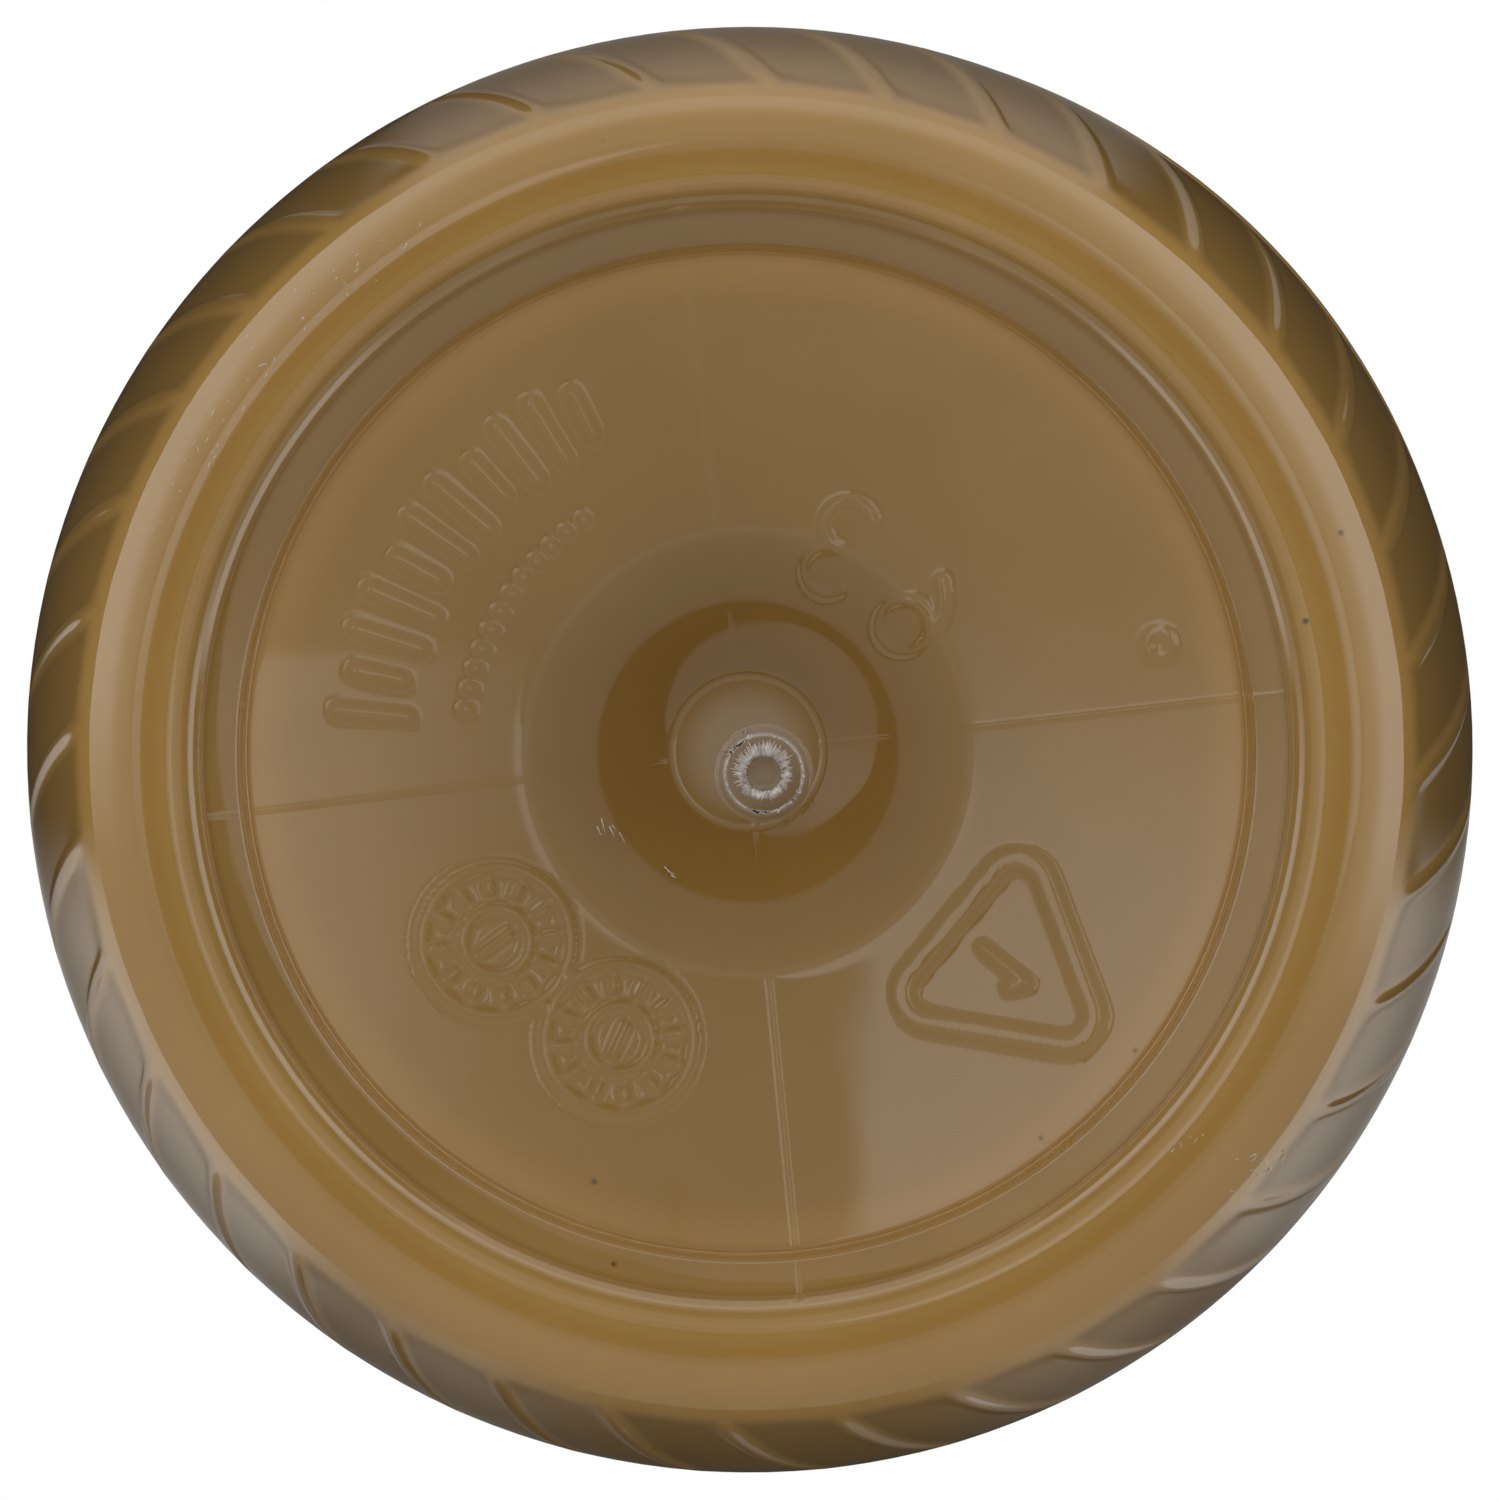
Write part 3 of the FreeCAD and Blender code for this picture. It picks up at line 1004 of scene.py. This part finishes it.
def butter_paste():
    """Smooth tan-brown paste, faintly mottled, with fine dark specks of seed. Its brightness over
    the base is painted shade and light, set by the distance from the axis: darker at the base's
    middle, its groove and its step, where it is also deeper in colour, lightest at the heel and
    darker again up the flank. Behind the heel's flutes it has painted shade."""
    material, tree, shader, _ = new_material("butter_paste")
    tones = [(0.3, (0.290, 0.174, 0.053)), (0.7, (0.316, 0.191, 0.059))]
    mottled = ramp(tree, noise(tree, 90, 5.0), tones)
    spot = add(tree, "SeparateXYZ", {0: own_place(tree)})
    across = off_axis(tree, spot)
    reach = maths(tree, "DIVIDE", across, body_radius * MM)
    painted_light_and_shade = [
        # radius, painted brightness that stands for shade and light, and how much of the blue is
        # left
        (dome_top_radius, 0.50, 0.84),
        (dome_top_radius + 0.6, 0.47, 0.66),
        (dome_waist_radius - 0.6, 0.52, 0.66),
        (dome_waist_radius + 1.2, 0.51, 0.92),
        (dome_foot_radius, 0.58, 1.0),
        (dome_foot_radius + 4.8, 0.63, 1.0),
        (panel_bow_radius, 0.65, 1.0),
        (panel_radius - 2.5, 0.69, 1.0),
        (panel_radius - 1.2, 0.78, 1.0),
        (panel_radius - 0.6, 0.80, 1.0),
        (panel_radius - 0.1, 0.70, 0.72),
        (panel_radius + 0.6, 0.66, 0.66),
        (panel_radius + 1.1, 0.74, 1.0),
        (step_inner - 0.1, 0.76, 1.05),
        (step_outer, 0.64, 0.78),
        (step_outer + 0.3, 0.80, 0.98),
        (ring_inner, 0.88, 1.05),
        (ring_inner + 1.3, 0.86, 1.0),
        (ring_inner + 1.8, 0.82, 0.86),
        (ring_inner + 2.3, 0.83, 0.92),
        (ring_outer - 1.6, 0.88, 1.0),
        (ring_outer - 0.3, 0.96, 1.0),
        (ring_outer + 0.4, 1.0, 1.0),
        (ring_outer + 1.6, 0.78, 1.0),
        (ring_outer + 3.0, 0.62, 1.0),
    ]
    stops = [(r / body_radius, (k, k * (0.7 + 0.3 * b), k * b)) for r, k, b in painted_light_and_shade]
    upward = between(tree, spot.outputs["Z"], 0.010, 0.014)
    # Painted shade and light: brightness set by the distance from the axis over the base, and an
    # even 0.9 above it
    painted_shade = blended(tree, upward, ramp(tree, reach, stops), (0.9, 0.9, 0.9, 1))
    mottled_and_shaded = blended(tree, 1.0, mottled, painted_shade, "MULTIPLY")
    unshaded_share = maths(tree, "MAXIMUM", flute_shade_share(tree, spot, across), upward)
    # Painted shade: the paste behind the heel's flutes is darkened to 0.72 of its colour
    painted_flute_shade = blended(tree, unshaded_share, (0.72, 0.72, 0.70, 1), (1, 1, 1, 1))
    flute_shaded = blended(tree, 1.0, mottled_and_shaded, painted_flute_shade, "MULTIPLY")
    cells = add(tree, "TexVoronoi", {"Vector": own_place(tree), "Scale": 420.0})
    chosen = ramp(tree, cells.outputs["Color"], [(0.80, (0.0,)), (0.82, (1.0,))])
    core = ramp(tree, cells.outputs["Distance"], [(0.04, (0.8,)), (0.10, (0.0,))])
    speck = times(tree, chosen, core)
    colour = blended(tree, speck, flute_shaded, (0.06, 0.033, 0.012, 1))
    tree.links.new(colour, shader.inputs["Base Color"])
    shader.inputs["Roughness"].default_value = 0.6
    shader.inputs["Specular IOR Level"].default_value = 0.05
    tree.links.new(bumped(tree, noise(tree, 700, 3.0), 0.000005), shader.inputs["Normal"])
    return material


def cap_plastic():
    """Satin white moulded plastic, faintly uneven."""
    material, tree, shader, _ = new_material("cap_plastic")
    tint = ramp(tree, noise(tree, 60, 4.0), [(0.3, (0.66, 0.65, 0.625)), (0.7, (0.71, 0.70, 0.68))])
    tree.links.new(tint, shader.inputs["Base Color"])
    gloss = ramp(tree, noise(tree, 400, 4.0), [(0.35, (0.3,)), (0.7, (0.42,))])
    tree.links.new(gloss, shader.inputs["Roughness"])
    tree.links.new(bumped(tree, noise(tree, 1500, 2.0), 0.00002), shader.inputs["Normal"])
    return material


def floor_surface():
    """Pale and plain from above, and fading into the backdrop. From below it isn't there, so that
    the base can be seen."""
    material, tree, shader, output = new_material("studio_floor")
    pale = ramp(tree, noise(tree, 3.0), [(0.3, (0.80, 0.80, 0.79)), (0.7, (0.83, 0.83, 0.82))])
    tree.links.new(pale, shader.inputs["Base Color"])
    shader.inputs["Roughness"].default_value = 0.7
    below = add(tree, "NewGeometry").outputs["Backfacing"]
    away = add(tree, "BsdfTransparent")
    spot = add(tree, "SeparateXYZ", {0: own_place(tree)})
    far = between(tree, off_axis(tree, spot), floor_clear * MM, floor_reach * MM)
    gone = maths(tree, "MAXIMUM", below, far)
    mix = add(tree, "MixShader", {0: gone, 1: shader.outputs[0], 2: away.outputs[0]})
    tree.links.new(mix.outputs[0], output.inputs["Surface"])
    return material


# ---------------------------------------------------------------- stage, lights and camera
# A place round the jar is an angle off the line straight down from the base, and an angle round
# that line, counted anticlockwise as the camera sees it from +X.

def heading(off, around):
    """The direction at an angle off the axis and an angle round it, in degrees."""
    off, around = math.radians(off), math.radians(around)
    side = math.sin(off)
    return Vector((side * math.cos(around), -side * math.sin(around), -math.cos(off)))


def make_floor():
    far = floor_reach
    corners = [(-far, -far, 0), (far, -far, 0), (far, far, 0), (-far, far, 0)]
    piece = make_mesh("studio_floor", corners, [(0, 1, 2, 3)])
    piece.data.materials.append(floor_surface())
    piece.visible_diffuse = False
    piece.visible_glossy = False
    piece.visible_transmission = False
    piece.visible_shadow = False


def add_lamp(name, off, around, size, glow):
    """A large square lamp that lights the jar but isn't mirrored in it. off and around say where it
    is, and glow is its radiance."""
    z_axis = heading(off, around)
    data = bpy.data.lights.new(name, "AREA")
    data.size = size * MM
    data.energy = glow * math.pi * data.size**2
    data.cycles.use_multiple_importance_sampling = False
    light = bpy.data.objects.new(name, data)
    bpy.context.scene.collection.objects.link(light)
    light.location = z_axis * lamp_distance * MM
    light.rotation_mode = "QUATERNION"
    light.rotation_quaternion = z_axis.to_track_quat("Z", "Y")
    light.visible_camera = False
    light.visible_glossy = False
    light.visible_transmission = False


def reflector_surface():
    """The glow of the card round the lens: brightest low on the left and right, then at the top."""
    material, tree, shader, output = new_material("reflector")
    spot = add(tree, "SeparateXYZ", {0: own_place(tree)})
    x, y = (maths(tree, "DIVIDE", spot.outputs[axis], MM) for axis in "XY")
    away = maths(tree, "DIVIDE", off_axis(tree, spot), MM)
    side_x = maths(tree, "DIVIDE", x, away)
    side_y = maths(tree, "DIVIDE", y, away)
    left = times(tree, between(tree, side_x, -0.35, -0.85), between(tree, side_y, 0.25, -0.15))
    right = times(tree, between(tree, side_x, 0.35, 0.85), between(tree, side_y, 0.45, 0.1))
    top = between(tree, side_y, -0.6, -0.95)
    outward = between(tree, away, 52, 84, 0.3, 1.7)
    sides = times(tree, maths(tree, "ADD", left, right), outward)
    over = times(tree, top, between(tree, away, 72, 120, 0.0, 1.1))
    edge = between(tree, away, reflector_hole, reflector_hole + reflector_rim, 0.85, 1.0)
    glow = maths(tree, "ADD", maths(tree, "ADD", sides, over), 0.6)
    shine = add(tree, "Emission", {"Strength": times(tree, glow, edge)})
    tree.links.new(shine.outputs[0], output.inputs["Surface"])
    tree.nodes.remove(shader)
    material.cycles.emission_sampling = "NONE"
    return material


def make_reflector():
    """A card with a round hole for the lens, close below the base, seen only in reflections."""
    count = 96
    angles = np.linspace(0, TURN, count + 1)[:-1]
    points = []
    for r in (reflector_hole, reflector_reach):
        points.extend((r * math.cos(a), r * math.sin(a), -reflector_drop) for a in angles)
    faces = [(i, (i + 1) % count, count + (i + 1) % count, count + i) for i in range(count)]
    piece = make_mesh("reflector", points, faces)
    piece.data.materials.append(reflector_surface())
    piece.visible_camera = False
    piece.visible_diffuse = False
    piece.visible_transmission = False
    piece.visible_shadow = False


def make_lights():
    add_lamp("front_key", 16, 100, 1500, 2.9)
    for index, around in enumerate((70, 190, 310)):
        add_lamp(f"high_{index}", 126, around, 840, 4.3)


def make_world():
    """A studio that is light in front of the base and white where the camera sees it. Near the
    camera are two panels, brighter towards their top and outer sides, with the dark lens and its
    stand between them. Behind the jar, seen only in its gloss, a table is bright at the lower left
    and right, and a ceiling glows faintly."""
    world = bpy.data.worlds.new("studio")
    world.use_nodes = True
    bpy.context.scene.world = world
    tree = world.node_tree
    way = add(tree, "SeparateXYZ", {0: add(tree, "TexCoord").outputs["Generated"]})
    front = times(tree, way.outputs["Z"], -1.0)
    right = maths(tree, "DIVIDE", way.outputs["X"], front)
    up = maths(tree, "DIVIDE", times(tree, way.outputs["Y"], -1.0), front)
    tent = maths(
        tree,
        "ADD",
        between(tree, front, 0.70, 0.80, 0.02, 0.42),
        between(tree, front, 0.90, 0.95, 0.0, 0.18),
    )
    lens = math.tan(camera_lean)
    off_lens = apart(tree, maths(tree, "ADD", right, lens), maths(tree, "ADD", up, lens))

    def within(value, low, high, soft):
        rise = between(tree, value, low - soft, low + soft)
        return times(tree, rise, between(tree, value, high - soft, high + soft, 1.0, 0.0))

    def box(left, far_right, low, high, soft):
        return times(tree, within(right, left, far_right, soft), within(up, low, high, soft))

    ahead = between(tree, front, 0.97, 0.98)
    parts = [
        (box(0.0, 0.4, -0.046, 0.4, 0.003), between(tree, right, 0.015, 0.12, 0.0, 0.95)),
        (box(-0.4, -0.05, -0.4, 0.4, 0.006), between(tree, up, -0.075, 0.03, 0.1, 1.1)),
        (box(-0.003, 0.001, 0.09, 0.16, 0.001), -0.25),
    ]
    near = 0.42
    for shape, glow in parts:
        near = maths(tree, "ADD", near, times(tree, shape, glow))
    near = times(tree, near, between(tree, off_lens, 0.03, 0.06))
    glow = add(tree, "Mix", {0: ahead, 2: tent, 3: near}, data_type="FLOAT").outputs[0]
    level = maths(tree, "DIVIDE", way.outputs["Y"], off_axis(tree, way))
    bright = times(
        tree,
        between(tree, level, 0.1, 0.3),
        between(tree, level, 0.68, 0.82, 1.0, 0.35),
    )
    table = times(tree, bright, between(tree, level, 0.9, 1.0, 1.0, 0.1))
    ceiling = between(tree, level, -0.80, -0.88, 0.0, 0.5)
    fall = times(
        tree,
        between(tree, front, 0.45, 0.15),
        between(tree, front, -0.15, -0.95, 2.2, 0.3),
    )
    behind = times(tree, maths(tree, "ADD", table, ceiling), fall)
    path = add(tree, "LightPath")
    glow = maths(tree, "ADD", glow, times(tree, behind, path.outputs["Is Glossy Ray"]))
    seen = path.outputs["Is Camera Ray"]
    strength = add(tree, "Mix", {0: seen, 2: glow, 3: 1.0}, data_type="FLOAT").outputs[0]
    tree.links.new(strength, tree.nodes["Background"].inputs["Strength"])
    tree.nodes["Background"].inputs["Color"].default_value = (1, 1, 1, 1)
    world.cycles.sampling_method = "NONE"


def make_camera():
    """Straight up at the base, a little off the axis, as the photograph was taken."""
    distance = camera_distance * MM
    lean = math.sin(camera_lean)
    widest = (flank_rise + flank_round_reach) * MM
    back = Vector((lean, -lean, -1)).normalized()
    data = bpy.data.cameras.new("camera")
    camera = bpy.data.objects.new("camera", data)
    bpy.context.scene.collection.objects.link(camera)
    aim = Vector((0, 0, widest))
    camera.location = aim + back * distance
    up = Vector((0, -1, 0))
    right = up.cross(back).normalized()
    up = back.cross(right)
    camera.rotation_mode = "QUATERNION"
    camera.rotation_quaternion = Matrix((right, up, back)).transposed().to_quaternion()
    data.sensor_width = 36
    data.lens = data.sensor_width / 2 * distance * frame_share / (body_radius * MM)
    data.clip_start, data.clip_end = 0.05, 50
    bpy.context.scene.camera = camera


def main():
    bpy.context.scene.view_settings.view_transform = "Standard"
    paths = bpy.context.scene.cycles
    paths.max_bounces = 8
    paths.diffuse_bounces = 2
    paths.glossy_bounces = 3
    paths.transmission_bounces = 8
    torn = frosted_plastic()
    pieces = (
        (make_jar(), "jar", "clear_plastic", clear_plastic()),
        (make_gate_frost(), None, "clear_plastic", torn),
        (make_scuffs(), None, "clear_plastic", torn),
        (make_butter(), "butter", "butter", butter_paste()),
        (make_cap(), "cap", "cap_plastic", cap_plastic()),
    )
    for piece, node_name, slot, material in pieces:
        piece.data.materials.append(material)
        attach(piece, "root")
        if node_name:
            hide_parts(node_name)
    make_floor()
    make_reflector()
    make_lights()
    make_world()
    make_camera()


main()
